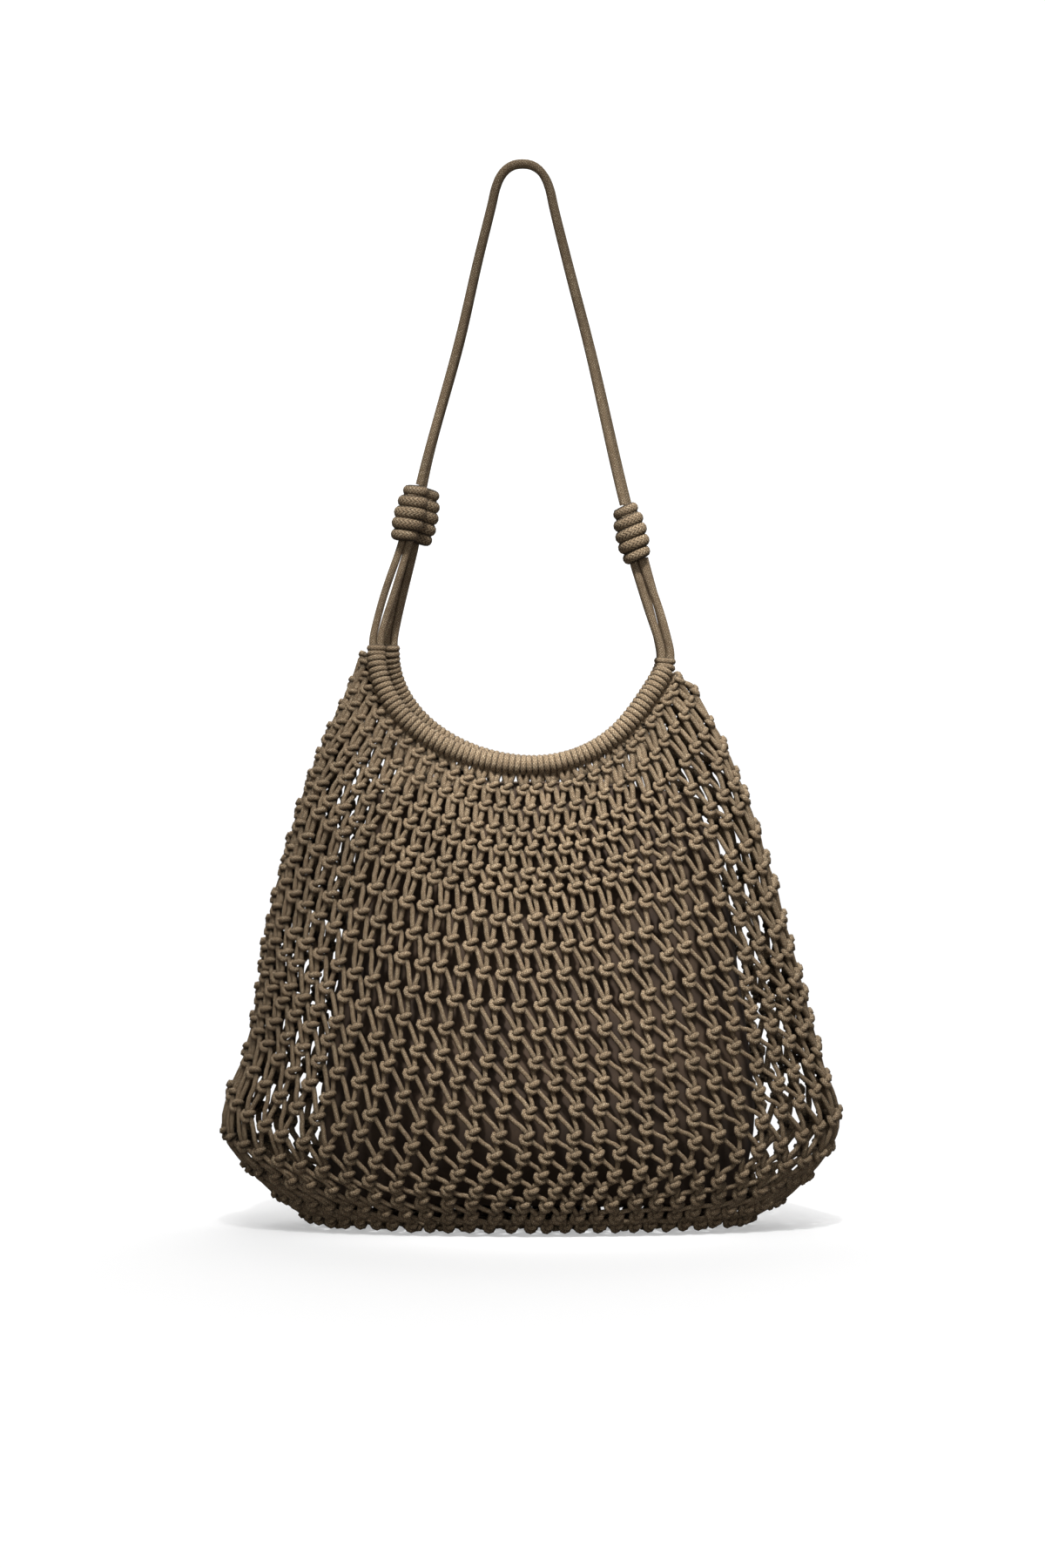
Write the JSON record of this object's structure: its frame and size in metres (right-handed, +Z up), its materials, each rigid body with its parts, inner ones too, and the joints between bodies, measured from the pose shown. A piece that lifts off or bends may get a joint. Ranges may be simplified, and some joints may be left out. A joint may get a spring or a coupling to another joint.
{
  "type": "knotted net shoulder bag",
  "caption": "Bucket-shaped shoulder bag of knotted cord net with wound rims, a cloth inner pouch and a two-cord strap on adjustable barrel knots.",
  "frame": {"origin": "under the middle of the base, on the surface that the bag stands on", "axes": "+Z up through the strap's top, +X to the right along the bag's width as seen from the front, -Y towards the front"},
  "size_m": [0.4081, 0.128, 0.7037],
  "materials": {
    "net_cord": "braided matt cord, taupe brown",
    "wound_cord": "the same cord, wound closely",
    "pouch_cloth": "matt plain-woven cloth, dark taupe"
  },
  "bodies": {
    "root": {"net_body": "net_cord", "left_front_outer_leg": "net_cord", "left_front_inner_leg": "net_cord", "left_back_outer_leg": "net_cord", "left_back_inner_leg": "net_cord", "right_front_outer_leg": "net_cord", "right_front_inner_leg": "net_cord", "right_back_outer_leg": "net_cord", "right_back_inner_leg": "net_cord", "strap_front_cord": "net_cord", "strap_back_cord": "net_cord", "front_rim": "wound_cord", "back_rim": "wound_cord", "left_front_knot": "wound_cord", "left_back_knot": "wound_cord", "right_front_knot": "wound_cord", "right_back_knot": "wound_cord", "inner_pouch": "pouch_cloth"}
  },
  "joints": []
}
